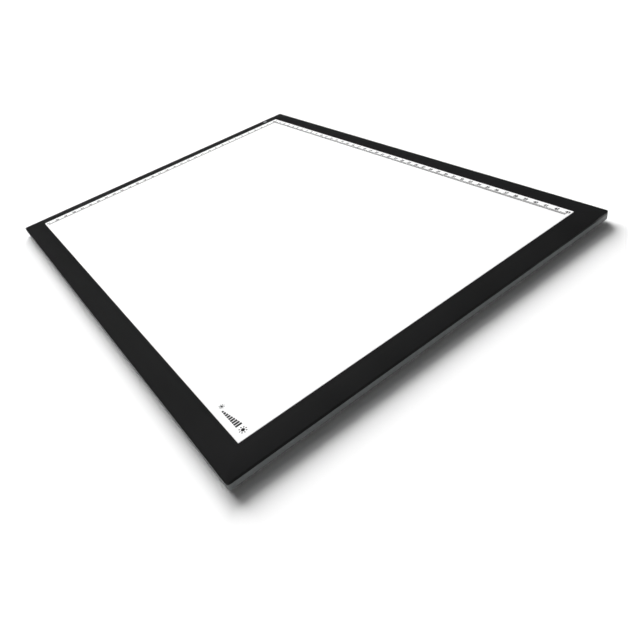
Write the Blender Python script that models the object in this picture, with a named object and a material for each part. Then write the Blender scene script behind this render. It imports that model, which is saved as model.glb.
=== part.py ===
"""A3 light box: an edge-lit LED tracing pad, as its separate pieces.

Frame: +X along the long edge, +Y from the near edge to the far edge, +Z up. The origin is on the
surface that the pad stands on, under the centre of its outline. Lengths are in metres.
"""

import math

import bmesh
import bpy
from mathutils import Matrix

MM = 0.001

# Outline, seen from above: a lit window with a black margin round it
WINDOW_LENGTH = 440 * MM
WINDOW_WIDTH = 320 * MM
MARGIN_LEFT = 12 * MM
MARGIN_RIGHT = 20 * MM
MARGIN_FAR = 15 * MM
MARGIN_NEAR = 20 * MM
LENGTH = MARGIN_LEFT + WINDOW_LENGTH + MARGIN_RIGHT
WIDTH = MARGIN_NEAR + WINDOW_WIDTH + MARGIN_FAR
WINDOW_X = (MARGIN_LEFT - MARGIN_RIGHT) / 2
WINDOW_Y = (MARGIN_NEAR - MARGIN_FAR) / 2
WINDOW_LEFT = WINDOW_X - WINDOW_LENGTH / 2
WINDOW_RIGHT = WINDOW_X + WINDOW_LENGTH / 2
WINDOW_NEAR = WINDOW_Y - WINDOW_WIDTH / 2
WINDOW_FAR = WINDOW_Y + WINDOW_WIDTH / 2
CORNER_RADIUS = 2.5 * MM
LEAST_RADIUS = 0.8 * MM
CORNER_STEPS = 7
ROUND_STEPS = 16
LARGE_STEPS = 32

# Gaps between neighbours, and how far a feature sinks into the body that it is united with
FIT = 0.3 * MM
LAYER_GAP = 0.2 * MM
SINK = 0.1 * MM
DEEP_SINK = 0.5 * MM

# Back cover: a tray
COVER_BOTTOM = 1.2 * MM
COVER_FLOOR = 1.2 * MM
COVER_WALL = 1.8 * MM
COVER_TOP = 7.0 * MM
COVER_ROUNDING = 2.0 * MM
ROUNDING_KNEE = 0.3
FLOOR_TOP = COVER_BOTTOM + COVER_FLOOR
WALL_X = LENGTH / 2 - COVER_WALL
WALL_Y = WIDTH / 2 - COVER_WALL

# Bezel frame: the black top, with a skirt that locates it inside the cover's wall
FRAME_BOTTOM = COVER_TOP + LAYER_GAP
FRAME_THICKNESS = 2.0 * MM
FRAME_EDGE = 0.4 * MM
REBATE_WIDTH = 3.0 * MM
REBATE_HEIGHT = 0.8 * MM
SKIRT_OUTSIDE = COVER_WALL + FIT
SKIRT_INSIDE = SKIRT_OUTSIDE + 0.9 * MM
SKIRT_DEPTH = 0.8 * MM
WINDOW_CORNER = 0.2 * MM

# Cover screws: bosses hang from the frame, pads stand on the cover's floor
SCREW_INSET = 4.5 * MM
SCREW_SPACING = 110 * MM
BOSS_RADIUS = 2.3 * MM
BOSS_LOW = 3.9 * MM
PILOT_RADIUS = 1.15 * MM
PILOT_TOP = 6.6 * MM
PAD_RADIUS = 2.9 * MM
PAD_TOP = 3.6 * MM
SCREW_HEAD_RADIUS = 1.9 * MM
SCREW_HEAD_HEIGHT = 1.0 * MM
SCREW_SHANK_RADIUS = 0.85 * MM
COVER_SCREW_LENGTH = 4.0 * MM
COUNTERBORE_RADIUS = SCREW_HEAD_RADIUS + FIT
COUNTERBORE_TOP = COVER_BOTTOM + 1.3 * MM
SCREW_HEAD_EDGE = 0.15 * MM
SCREW_TIP = 0.6 * MM
RECESS_LENGTH = 2.2 * MM
RECESS_WIDTH = 0.5 * MM
RECESS_DEPTH = 0.6 * MM

# Stack of sheets under the window: each one's lower face and thickness
REFLECTOR_LOW = FLOOR_TOP + LAYER_GAP
FILM = 0.25 * MM
GUIDE_LOW = REFLECTOR_LOW + FILM + 0.25 * MM
GUIDE_THICKNESS = 2.5 * MM
GUIDE_TOP = GUIDE_LOW + GUIDE_THICKNESS
DIFFUSER_LOW = GUIDE_TOP + LAYER_GAP
PRISM_LOW = DIFFUSER_LOW + FILM + LAYER_GAP
SEAL_LOW = PRISM_LOW + FILM + 0.25 * MM
SEAL_BORDER = 4.0 * MM
SEAL_OVERHANG = 0.5 * MM
SEAL_NOTCH = 4 * MM
GUIDE_LEFT = WINDOW_LEFT - 2.5 * MM
GUIDE_RIGHT = WINDOW_RIGHT + 3.5 * MM
GUIDE_NEAR = WINDOW_NEAR - 4.0 * MM
GUIDE_FAR = WINDOW_FAR + 3.5 * MM
FILM_INSET = 0.5 * MM
FILM_TAB_LENGTH = 12 * MM
FILM_TAB_REACH = 3 * MM
NOTCH_DISTANCE = 100 * MM
NOTCH_LENGTH = 10 * MM
NOTCH_DEPTH = 2 * MM

# LED strips and the aluminium angles behind them
STRIP_LEFT = WINDOW_LEFT
STRIP_RIGHT = WINDOW_RIGHT + 2 * MM
STRIP_LOW = 2.7 * MM
STRIP_HEIGHT = 3.8 * MM
STRIP_THICKNESS = 0.8 * MM
LED_COUNT = 44
LED_PITCH = 10 * MM
LED_LENGTH = 4.0 * MM
LED_DEPTH = 1.0 * MM
LED_HEIGHT = 1.6 * MM
RAIL_THICKNESS = 1.5 * MM
RAIL_FOOT_HEIGHT = 1.0 * MM
RAIL_HEIGHT = 4.0 * MM
RAIL_END_INSET = 2 * MM

# Left margin: control board, touch spring and power socket
BOARD_X = -230.5 * MM
BOARD_WIDTH = 5.8 * MM
BOARD_NEAR = 88.3 * MM
BOARD_FAR = 159.5 * MM
BOARD_LOW = 3.3 * MM
BOARD_THICKNESS = 0.8 * MM
BOARD_TOP = BOARD_LOW + BOARD_THICKNESS
BOARD_SCREW_Y = (98 * MM, 155.3 * MM)
BOARD_HOLE_RADIUS = 1.2 * MM
BOARD_BOSS_RADIUS = 2.2 * MM
BOARD_BOSS_TOP = BOARD_LOW - LAYER_GAP
BOARD_PILOT_LOW = 1.7 * MM
BOARD_PILOT_RADIUS = 1.15 * MM
BOARD_SCREW_LENGTH = 2.2 * MM
SOLDER_GAP = 0.1 * MM
CHIP_LENGTH = 4.9 * MM
CHIP_WIDTH = 3.9 * MM
CHIP_HEIGHT = 1.2 * MM
CHIP_DRAFT = 0.2 * MM
CAPACITOR_LENGTH = 3.2 * MM
CAPACITOR_WIDTH = 1.8 * MM
CAPACITOR_HEIGHT = 1.4 * MM
DIODE_LENGTH = 2.6 * MM
DIODE_HEIGHT = 1.0 * MM
INDUCTOR_RADIUS = 2.2 * MM
INDUCTOR_CORE_RADIUS = 1.6 * MM
INDUCTOR_FLANGE = 0.5 * MM
INDUCTOR_HEIGHT = 1.9 * MM
CONNECTOR_WIDTH = 4.6 * MM
CONNECTOR_LENGTH = 4.4 * MM
CONNECTOR_HEIGHT = 2.2 * MM
CONNECTOR_WALL = 0.5 * MM
CONNECTOR_Y = 91.2 * MM
INPUT_CAPACITOR_Y = 103.4 * MM
INDUCTOR_Y = 109.0 * MM
DRIVER_Y = 116.5 * MM
DIODE_Y = 122.4 * MM
DIMMER_CHIP_Y = 129.0 * MM
OUTPUT_CAPACITOR_Y = 135.4 * MM
TOUCH_Y = WINDOW_FAR - 13.2 * MM
SPRING_RADIUS = 2.0 * MM
SPRING_WIRE_RADIUS = 0.25 * MM
SPRING_TURNS = 4
SPRING_STEPS_PER_TURN = 14
SOCKET_LENGTH = 8.9 * MM
SOCKET_WIDTH = 6.6 * MM
SOCKET_HEIGHT = 4.2 * MM
SOCKET_X = -LENGTH / 2 + 0.2 * MM + SOCKET_LENGTH / 2
SOCKET_Y = BOARD_FAR + FIT + SOCKET_WIDTH / 2
SOCKET_Z = 4.8 * MM
SOCKET_BORE_RADIUS = 1.8 * MM
SOCKET_BORE_DEPTH = 7.8 * MM
SOCKET_PIN_RADIUS = 0.65 * MM
SOCKET_PIN_SETBACK = 0.8 * MM
SOCKET_PIN_TIP = 0.2 * MM
SOCKET_TAB_REACH = 2.3 * MM
SOCKET_TAB_WIDTH = 1.0 * MM
SOCKET_TAB_THICKNESS = 0.3 * MM
SOCKET_TAB_PITCH = 2.0 * MM

# Spacers and leads in the side margins
SPACER_HEIGHT = GUIDE_TOP - REFLECTOR_LOW
SPACER_NEAR = -155 * MM
LEFT_SPACER_WIDTH = 3.4 * MM
LEFT_SPACER_FAR = 84 * MM
RIGHT_SPACER_WIDTH = 7 * MM
LEAD_RADIUS = 0.8 * MM
LEAD_BEND_RADIUS = 4 * MM
LEAD_BEND_STEPS = 6
LEAD_Z = 3.5 * MM
LEFT_LEAD_X = -231.3 * MM
RIGHT_LEAD_X = 229 * MM

# Underside
FOOT_RADIUS = 6 * MM
FOOT_HEIGHT = 1.5 * MM
FOOT_EDGE = 0.4 * MM
FOOT_X = 205 * MM
FOOT_Y = 150 * MM
RECESS_CEILING = COVER_BOTTOM + 0.6 * MM
LABEL_LENGTH = 60 * MM
LABEL_WIDTH = 30 * MM
LABEL_THICKNESS = 0.25 * MM
LABEL_X = 118 * MM
LABEL_Y = 70 * MM
LABEL_CORNER = 2 * MM

# Colours are linear: red, green, blue, roughness, metallic
FINISHES = {
    "bezel_black": (0.017, 0.017, 0.018, 0.55, 0.0),
    "lit_acrylic": (0.95, 0.95, 0.95, 0.35, 0.0),
    "cover_grey": (0.11, 0.115, 0.115, 0.5, 0.0),
    "foam_black": (0.02, 0.02, 0.02, 0.95, 0.0),
    "film_white": (0.85, 0.86, 0.87, 0.3, 0.0),
    "clear_acrylic": (0.75, 0.8, 0.8, 0.05, 0.0),
    "reflector_white": (0.92, 0.92, 0.92, 0.6, 0.0),
    "strip_white": (0.8, 0.8, 0.76, 0.4, 0.0),
    "rail_aluminium": (0.6, 0.61, 0.63, 0.35, 1.0),
    "spacer_white": (0.7, 0.7, 0.68, 0.6, 0.0),
    "board_green": (0.02, 0.14, 0.05, 0.4, 0.0),
    "chip_black": (0.02, 0.02, 0.022, 0.5, 0.0),
    "capacitor_tan": (0.4, 0.28, 0.16, 0.4, 0.0),
    "ferrite_grey": (0.09, 0.09, 0.1, 0.6, 0.0),
    "spring_steel": (0.55, 0.54, 0.52, 0.3, 1.0),
    "socket_black": (0.02, 0.02, 0.02, 0.4, 0.0),
    "pin_brass": (0.7, 0.55, 0.3, 0.25, 1.0),
    "lead_white": (0.75, 0.75, 0.72, 0.5, 0.0),
    "screw_black": (0.04, 0.04, 0.045, 0.35, 0.9),
    "foot_rubber": (0.012, 0.012, 0.012, 0.85, 0.0),
    "label_silver": (0.5, 0.5, 0.5, 0.4, 0.2),
}


def clear_scene():
    for old in list(bpy.data.objects):
        bpy.data.objects.remove(old, do_unlink=True)


def finish(slot):
    """The Principled material of one of the FINISHES."""
    material = bpy.data.materials.get(slot)
    if material is None:
        red, green, blue, roughness, metallic = FINISHES[slot]
        material = bpy.data.materials.new(slot)
        material.use_nodes = True
        shader = material.node_tree.nodes["Principled BSDF"]
        shader.inputs["Base Color"].default_value = (red, green, blue, 1.0)
        shader.inputs["Roughness"].default_value = roughness
        shader.inputs["Metallic"].default_value = metallic
    return material


def mesh_from(bm, name):
    """The bmesh as a mesh, its faces outward, smooth round its curves and sharp at its corners."""
    if bm.calc_volume(signed=True) < 0:
        bmesh.ops.reverse_faces(bm, faces=bm.faces)
    mesh = bpy.data.meshes.new(name)
    bm.to_mesh(mesh)
    bm.free()
    mesh.shade_smooth()
    mesh.set_sharp_from_angle(angle=math.radians(35))
    return mesh


def add_piece(name, shape, slot, location=(0, 0, 0)):
    """Adds a sub-part from a bmesh, or from a mesh that it shares with its copies."""
    mesh = mesh_from(shape, name) if isinstance(shape, bmesh.types.BMesh) else shape
    if not mesh.materials:
        mesh.materials.append(finish(slot))
    piece = bpy.data.objects.new(name, mesh)
    piece.location = location
    bpy.context.scene.collection.objects.link(piece)
    return piece


def combine(piece, shape, operation):
    """Unites a hidden tool with a piece, or cuts it out. The tool is in the piece's coordinates."""
    name = f"{piece.name}_{operation.lower()}_{len(piece.modifiers) + 1}"
    mesh = mesh_from(shape, name) if isinstance(shape, bmesh.types.BMesh) else shape
    tool = bpy.data.objects.new(name, mesh)
    tool.parent = piece
    tool.hide_render = True
    tool.display_type = "WIRE"
    bpy.context.scene.collection.objects.link(tool)
    modifier = piece.modifiers.new(name, "BOOLEAN")
    modifier.operation = operation
    modifier.solver = "EXACT"
    modifier.object = tool


def rounded_rectangle(length, width, radius, x=0.0, y=0.0):
    """Points of a rounded rectangle about (x, y), anticlockwise from the end of its right side."""
    points = []
    for quarter, (sign_x, sign_y) in enumerate(((1, 1), (-1, 1), (-1, -1), (1, -1))):
        for step in range(CORNER_STEPS + 1):
            angle = math.radians(90 * (quarter + step / CORNER_STEPS))
            corner_x = x + sign_x * (length / 2 - radius)
            corner_y = y + sign_y * (width / 2 - radius)
            points.append((corner_x + radius * math.cos(angle), corner_y + radius * math.sin(angle)))
    return points


def outline(inset):
    """The pad's outline, moved in by inset."""
    radius = max(CORNER_RADIUS - inset, LEAST_RADIUS)
    return rounded_rectangle(LENGTH - 2 * inset, WIDTH - 2 * inset, radius)


def window_outline(growth, radius=WINDOW_CORNER):
    """The window's outline, moved out by growth."""
    length = WINDOW_LENGTH + 2 * growth
    width = WINDOW_WIDTH + 2 * growth
    return rounded_rectangle(length, width, radius, WINDOW_X, WINDOW_Y)


def rectangle(length, width):
    """Corners of a rectangle about the origin."""
    return [(x * length / 2, y * width / 2) for x, y in ((1, -1), (1, 1), (-1, 1), (-1, -1))]


def circle(radius, steps=ROUND_STEPS):
    turns = [2 * math.pi * step / steps for step in range(steps)]
    return [(radius * math.cos(turn), radius * math.sin(turn)) for turn in turns]


def loft(rows, ring=False):
    """A skin through rows of (points, z). A ring joins its last row to its first, and any other
    shape is capped at both ends."""
    bm = bmesh.new()
    loops = [[bm.verts.new((x, y, z)) for x, y in points] for points, z in rows]
    pairs = list(zip(loops, loops[1:]))
    if ring:
        pairs.append((loops[-1], loops[0]))
    for lower, upper in pairs:
        for here in range(len(lower)):
            after = (here + 1) % len(lower)
            bm.faces.new((lower[here], lower[after], upper[after], upper[here]))
    if not ring:
        bm.faces.new(reversed(loops[0]))
        bm.faces.new(loops[-1])
    return bm


def plate(points, thickness):
    return loft([(points, 0.0), (points, thickness)])


def add_box(bm, low, high):
    middle = [(a + b) / 2 for a, b in zip(low, high)]
    size = [b - a for a, b in zip(low, high)]
    bmesh.ops.create_cube(bm, size=1.0, matrix=Matrix.Translation(middle) @ Matrix.Diagonal((*size, 1)))


def add_cylinder(bm, x, y, low, high, radius, steps=ROUND_STEPS):
    place = Matrix.Translation((x, y, (low + high) / 2))
    bmesh.ops.create_cone(
        bm, cap_ends=True, segments=steps, radius1=radius, radius2=radius, depth=high - low, matrix=place
    )


def cylinders(places, low, high, radius, steps=ROUND_STEPS):
    """Equal upright cylinders at several places, as one bmesh."""
    bm = bmesh.new()
    for x, y in places:
        add_cylinder(bm, x, y, low, high, radius, steps)
    return bm


def cover_screw_places():
    """Five screws along each long edge, the outer ones in the corners."""
    edge_x = LENGTH / 2 - SCREW_INSET
    edge_y = WIDTH / 2 - SCREW_INSET
    along = (-edge_x, -SCREW_SPACING, 0.0, SCREW_SPACING, edge_x)
    return [(x, y) for y in (-edge_y, edge_y) for x in along]


def foot_places():
    return [(x, y) for y in (-FOOT_Y, FOOT_Y) for x in (-FOOT_X, 0.0, FOOT_X)]


def build_bezel_frame():
    """Black frame with a rounded top edge, a rebate for the panel, a skirt and ten screw bosses."""
    knee = ROUNDING_KNEE * FRAME_EDGE
    profile = [
        (outline(0), 0),
        (outline(0), FRAME_THICKNESS - FRAME_EDGE),
        (outline(knee), FRAME_THICKNESS - knee),
        (outline(FRAME_EDGE), FRAME_THICKNESS),
        (window_outline(0), FRAME_THICKNESS),
        (window_outline(0), REBATE_HEIGHT),
        (window_outline(REBATE_WIDTH), REBATE_HEIGHT),
        (window_outline(REBATE_WIDTH), 0),
        (outline(SKIRT_INSIDE), 0),
        (outline(SKIRT_INSIDE), -SKIRT_DEPTH),
        (outline(SKIRT_OUTSIDE), -SKIRT_DEPTH),
        (outline(SKIRT_OUTSIDE), 0),
    ]
    frame = add_piece("bezel_frame", loft(profile, ring=True), "bezel_black", (0, 0, FRAME_BOTTOM))
    places = cover_screw_places()
    low = BOSS_LOW - FRAME_BOTTOM
    combine(frame, cylinders(places, low, DEEP_SINK, BOSS_RADIUS), "UNION")
    combine(frame, cylinders(places, low - MM, PILOT_TOP - FRAME_BOTTOM, PILOT_RADIUS), "DIFFERENCE")
    gap = bmesh.new()
    reach = SOCKET_WIDTH / 2 + FIT
    add_box(
        gap,
        (-WALL_X - MM, SOCKET_Y - reach, -SKIRT_DEPTH - MM),
        (-LENGTH / 2 + SKIRT_INSIDE + MM, SOCKET_Y + reach, SINK),
    )
    combine(frame, gap, "DIFFERENCE")


def build_drawing_panel():
    """Opal acrylic panel: its face is flush in the frame and its flange lies in the rebate."""
    flange = window_outline(REBATE_WIDTH - FIT)
    face = window_outline(-FIT)
    step = REBATE_HEIGHT - LAYER_GAP
    rows = [(flange, 0), (flange, step), (face, step), (face, FRAME_THICKNESS)]
    add_piece("drawing_panel", loft(rows), "lit_acrylic", (0, 0, FRAME_BOTTOM))


def build_light_seal():
    """Foam frame that keeps the light inside the window, notched for the power socket."""
    inner = window_outline(SEAL_OVERHANG)
    outer = window_outline(SEAL_BORDER)
    rows = [(outer, 0), (outer, FILM), (inner, FILM), (inner, 0)]
    seal = add_piece("light_seal", loft(rows, ring=True), "foam_black", (0, 0, SEAL_LOW))
    notch = bmesh.new()
    reach = SOCKET_WIDTH / 2 + FIT
    socket_end = SOCKET_X + SOCKET_LENGTH / 2 + FIT
    add_box(
        notch,
        (socket_end - SEAL_NOTCH, SOCKET_Y - reach, -MM),
        (socket_end, SOCKET_Y + reach, MM),
    )
    combine(seal, notch, "DIFFERENCE")


def film_points():
    """A film's outline: a rectangle with a locating tab on its right edge."""
    left = GUIDE_LEFT + FILM_INSET
    right = GUIDE_RIGHT - FILM_INSET
    near = GUIDE_NEAR + FILM_INSET
    far = GUIDE_FAR - FILM_INSET
    tab = FILM_TAB_LENGTH / 2
    reach = right + FILM_TAB_REACH
    return [
        (left, near),
        (right, near),
        (right, -tab),
        (reach, -tab),
        (reach, tab),
        (right, tab),
        (right, far),
        (left, far),
    ]


def guide_points():
    """The light guide's outline: a rectangle with two locating notches in its right edge."""
    points = [(GUIDE_LEFT, GUIDE_FAR), (GUIDE_LEFT, GUIDE_NEAR), (GUIDE_RIGHT, GUIDE_NEAR)]
    for middle in (-NOTCH_DISTANCE, NOTCH_DISTANCE):
        low = middle - NOTCH_LENGTH / 2
        high = middle + NOTCH_LENGTH / 2
        points.append((GUIDE_RIGHT, low))
        points.append((GUIDE_RIGHT - NOTCH_DEPTH, low))
        points.append((GUIDE_RIGHT - NOTCH_DEPTH, high))
        points.append((GUIDE_RIGHT, high))
    points.append((GUIDE_RIGHT, GUIDE_FAR))
    return points


def build_sheets():
    """The sheets under the panel, from the reflector up to the prism film."""
    length = GUIDE_RIGHT - GUIDE_LEFT - 2 * FILM_INSET
    width = GUIDE_FAR - GUIDE_NEAR - 2 * FILM_INSET
    middle_x = (GUIDE_LEFT + GUIDE_RIGHT) / 2
    middle_y = (GUIDE_NEAR + GUIDE_FAR) / 2
    reflector = plate(rectangle(length, width), FILM)
    add_piece("reflector_film", reflector, "reflector_white", (middle_x, middle_y, REFLECTOR_LOW))
    add_piece("light_guide", plate(guide_points(), GUIDE_THICKNESS), "clear_acrylic", (0, 0, GUIDE_LOW))
    add_piece("diffuser_film", plate(film_points(), FILM), "film_white", (0, 0, DIFFUSER_LOW))
    add_piece("prism_film", plate(film_points(), FILM), "film_white", (0, 0, PRISM_LOW))


def build_led_strip(name, guide_edge, facing):
    """LED strip on edge along a long side. facing is the sign of Y that its LEDs shine towards."""
    back = -facing
    face = FIT + LED_DEPTH
    middle = (STRIP_LEFT + STRIP_RIGHT) / 2
    half = (STRIP_RIGHT - STRIP_LEFT) / 2
    sides = sorted((back * face, back * (face + STRIP_THICKNESS)))
    board = bmesh.new()
    add_box(board, (-half, sides[0], 0), (half, sides[1], STRIP_HEIGHT))
    strip = add_piece(name, board, "strip_white", (middle, guide_edge, STRIP_LOW))
    leds = bmesh.new()
    centre = GUIDE_LOW + GUIDE_THICKNESS / 2 - STRIP_LOW
    depth = sorted((back * FIT, back * (face + SINK)))
    first = WINDOW_X - middle - LED_PITCH * (LED_COUNT - 1) / 2
    for index in range(LED_COUNT):
        x = first + index * LED_PITCH
        low = (x - LED_LENGTH / 2, depth[0], centre - LED_HEIGHT / 2)
        high = (x + LED_LENGTH / 2, depth[1], centre + LED_HEIGHT / 2)
        add_box(leds, low, high)
    combine(strip, leds, "UNION")


def build_led_rail(name, guide_edge, facing):
    """Aluminium angle: its upright backs the strip, and its foot runs out to the cover's wall."""
    back = -facing
    upright = abs(guide_edge) + FIT + LED_DEPTH + STRIP_THICKNESS + LAYER_GAP
    foot_end = WALL_Y - 2 * FIT
    profile = [
        (upright, 0),
        (foot_end, 0),
        (foot_end, RAIL_FOOT_HEIGHT),
        (upright + RAIL_THICKNESS, RAIL_FOOT_HEIGHT),
        (upright + RAIL_THICKNESS, RAIL_HEIGHT),
        (upright, RAIL_HEIGHT),
    ]
    start = STRIP_LEFT + RAIL_END_INSET
    end = STRIP_RIGHT - RAIL_END_INSET
    angle = bmesh.new()
    loops = [[angle.verts.new((x, back * y, z)) for y, z in profile] for x in (start, end)]
    angle.faces.new(reversed(loops[0]))
    angle.faces.new(loops[1])
    for here in range(len(profile)):
        after = (here + 1) % len(profile)
        angle.faces.new((loops[0][here], loops[0][after], loops[1][after], loops[1][here]))
    rail = add_piece(name, angle, "rail_aluminium", (0, 0, REFLECTOR_LOW))
    inner = [(x, y) for x, y in cover_screw_places() if start < x < end and y * back > 0]
    combine(rail, cylinders(inner, -MM, RAIL_FOOT_HEIGHT + MM, PAD_RADIUS + FIT), "DIFFERENCE")


def build_side_spacers():
    """Bars that keep the light guide in place at its two short edges."""
    left = bmesh.new()
    right_side = GUIDE_LEFT - FIT
    add_box(
        left,
        (right_side - LEFT_SPACER_WIDTH, SPACER_NEAR, 0),
        (right_side, LEFT_SPACER_FAR, SPACER_HEIGHT),
    )
    add_piece("side_spacer_left", left, "spacer_white", (0, 0, REFLECTOR_LOW))
    right = bmesh.new()
    left_side = GUIDE_RIGHT + FIT
    add_box(
        right,
        (left_side, SPACER_NEAR, 0),
        (left_side + RIGHT_SPACER_WIDTH, -SPACER_NEAR, SPACER_HEIGHT),
    )
    spacer = add_piece("side_spacer_right", right, "spacer_white", (0, 0, REFLECTOR_LOW))
    pegs = bmesh.new()
    for middle in (-NOTCH_DISTANCE, NOTCH_DISTANCE):
        add_box(
            pegs,
            (GUIDE_RIGHT - NOTCH_DEPTH + FIT, middle - NOTCH_LENGTH / 2 + FIT, GUIDE_LOW - REFLECTOR_LOW),
            (left_side + MM, middle + NOTCH_LENGTH / 2 - FIT, SPACER_HEIGHT - SINK),
        )
    combine(spacer, pegs, "UNION")


def build_back_cover():
    """Grey tray with screw pads and board bosses inside, and recesses for what sits underneath."""
    knee = ROUNDING_KNEE * COVER_ROUNDING
    rows = [
        (outline(COVER_ROUNDING), 0),
        (outline(knee), knee),
        (outline(0), COVER_ROUNDING),
        (outline(0), COVER_TOP - COVER_BOTTOM),
        (outline(COVER_WALL), COVER_TOP - COVER_BOTTOM),
        (outline(COVER_WALL), COVER_FLOOR),
    ]
    cover = add_piece("back_cover", loft(rows), "cover_grey", (0, 0, COVER_BOTTOM))
    screws = cover_screw_places()
    board_screws = [(BOARD_X, y) for y in BOARD_SCREW_Y]
    inside = COVER_FLOOR - DEEP_SINK
    raised = cylinders(screws, inside, PAD_TOP - COVER_BOTTOM, PAD_RADIUS)
    for x, y in board_screws:
        add_cylinder(raised, x, y, inside, BOARD_BOSS_TOP - COVER_BOTTOM, BOARD_BOSS_RADIUS)
    combine(cover, raised, "UNION")

    ceiling = RECESS_CEILING - COVER_BOTTOM
    label = rounded_rectangle(
        LABEL_LENGTH + 2 * FIT, LABEL_WIDTH + 2 * FIT, LABEL_CORNER + FIT, LABEL_X, LABEL_Y
    )
    recesses = loft([(label, -MM), (label, ceiling)])
    for x, y in foot_places():
        add_cylinder(recesses, x, y, -MM, ceiling, FOOT_RADIUS + FIT, LARGE_STEPS)
    for x, y in screws:
        add_cylinder(recesses, x, y, -MM, COUNTERBORE_TOP - COVER_BOTTOM, COUNTERBORE_RADIUS)
    reach = SOCKET_WIDTH / 2 + FIT
    add_box(
        recesses,
        (-LENGTH / 2 - MM, SOCKET_Y - reach, COVER_FLOOR + SINK),
        (-WALL_X + MM, SOCKET_Y + reach, COVER_TOP + MM),
    )
    combine(cover, recesses, "DIFFERENCE")

    holes = cylinders(screws, -MM, PAD_TOP, PILOT_RADIUS)
    for x, y in board_screws:
        add_cylinder(holes, x, y, BOARD_PILOT_LOW - COVER_BOTTOM, PAD_TOP, BOARD_PILOT_RADIUS)
    combine(cover, holes, "DIFFERENCE")


def build_control_board():
    """Bare board, screwed to its bosses in the cover."""
    bare = bmesh.new()
    half = BOARD_WIDTH / 2
    add_box(bare, (-half, BOARD_NEAR, 0), (half, BOARD_FAR, BOARD_THICKNESS))
    board = add_piece("control_board", bare, "board_green", (BOARD_X, 0, BOARD_LOW))
    holes = cylinders([(0, y) for y in BOARD_SCREW_Y], -MM, BOARD_THICKNESS + MM, BOARD_HOLE_RADIUS)
    combine(board, holes, "DIFFERENCE")


def add_chip(name, y, length_x, length_y, height):
    """Soldered part with a moulded body that narrows towards its top."""
    base = rectangle(length_x, length_y)
    top = rectangle(length_x - 2 * CHIP_DRAFT, length_y - 2 * CHIP_DRAFT)
    rows = [(base, 0), (base, height / 2), (top, height)]
    add_piece(name, loft(rows), "chip_black", (BOARD_X, y, BOARD_TOP + SOLDER_GAP))


def build_board_parts():
    """The parts soldered on the board: power input, LED driver with its coil, and dimmer."""
    level = BOARD_TOP + SOLDER_GAP
    add_chip("led_driver_chip", DRIVER_Y, CHIP_WIDTH, CHIP_LENGTH, CHIP_HEIGHT)
    add_chip("dimmer_chip", DIMMER_CHIP_Y, CHIP_WIDTH, CHIP_LENGTH, CHIP_HEIGHT)
    add_chip("rectifier_diode", DIODE_Y, DIODE_LENGTH, CAPACITOR_WIDTH, DIODE_HEIGHT)
    for name, y in (("input_capacitor", INPUT_CAPACITOR_Y), ("output_capacitor", OUTPUT_CAPACITOR_Y)):
        body = plate(rectangle(CAPACITOR_LENGTH, CAPACITOR_WIDTH), CAPACITOR_HEIGHT)
        add_piece(name, body, "capacitor_tan", (BOARD_X, y, level))
    rows = [
        (circle(INDUCTOR_RADIUS), 0),
        (circle(INDUCTOR_RADIUS), INDUCTOR_FLANGE),
        (circle(INDUCTOR_CORE_RADIUS), INDUCTOR_FLANGE),
        (circle(INDUCTOR_CORE_RADIUS), INDUCTOR_HEIGHT - INDUCTOR_FLANGE),
        (circle(INDUCTOR_RADIUS), INDUCTOR_HEIGHT - INDUCTOR_FLANGE),
        (circle(INDUCTOR_RADIUS), INDUCTOR_HEIGHT),
    ]
    add_piece("inductor", loft(rows), "ferrite_grey", (BOARD_X, INDUCTOR_Y, level))
    shell = plate(rectangle(CONNECTOR_WIDTH, CONNECTOR_LENGTH), CONNECTOR_HEIGHT)
    connector = add_piece("lead_connector", shell, "spacer_white", (BOARD_X, CONNECTOR_Y, level))
    mouth = bmesh.new()
    inner_x = CONNECTOR_WIDTH / 2 - CONNECTOR_WALL
    add_box(
        mouth,
        (-inner_x, -CONNECTOR_LENGTH / 2 - MM, CONNECTOR_WALL),
        (inner_x, CONNECTOR_LENGTH / 2 - CONNECTOR_WALL, CONNECTOR_HEIGHT - CONNECTOR_WALL),
    )
    combine(connector, mouth, "DIFFERENCE")


def add_tube(name, points, radius, slot, resolution):
    """A round wire through the points, closed at both ends."""
    curve = bpy.data.curves.new(name, "CURVE")
    curve.dimensions = "3D"
    curve.bevel_depth = radius
    curve.bevel_resolution = resolution
    curve.use_fill_caps = True
    curve.materials.append(finish(slot))
    spline = curve.splines.new("POLY")
    spline.points.add(len(points) - 1)
    for point, place in zip(spline.points, points):
        point.co = (*place, 1.0)
    tube = bpy.data.objects.new(name, curve)
    bpy.context.scene.collection.objects.link(tube)
    return tube


def build_touch_spring():
    """Sensor spring between the board and the frame, under the touch mark. It doesn't travel."""
    low = BOARD_TOP + LAYER_GAP + SPRING_WIRE_RADIUS
    high = FRAME_BOTTOM - LAYER_GAP - SPRING_WIRE_RADIUS
    count = SPRING_TURNS * SPRING_STEPS_PER_TURN
    points = []
    for step in range(count + 1):
        angle = 2 * math.pi * step / SPRING_STEPS_PER_TURN
        x = SPRING_RADIUS * math.cos(angle)
        y = SPRING_RADIUS * math.sin(angle)
        points.append((x, y, (high - low) * step / count))
    spring = add_tube("touch_spring", points, SPRING_WIRE_RADIUS, "spring_steel", 1)
    spring.location = (BOARD_X, TOUCH_Y, low)


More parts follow.
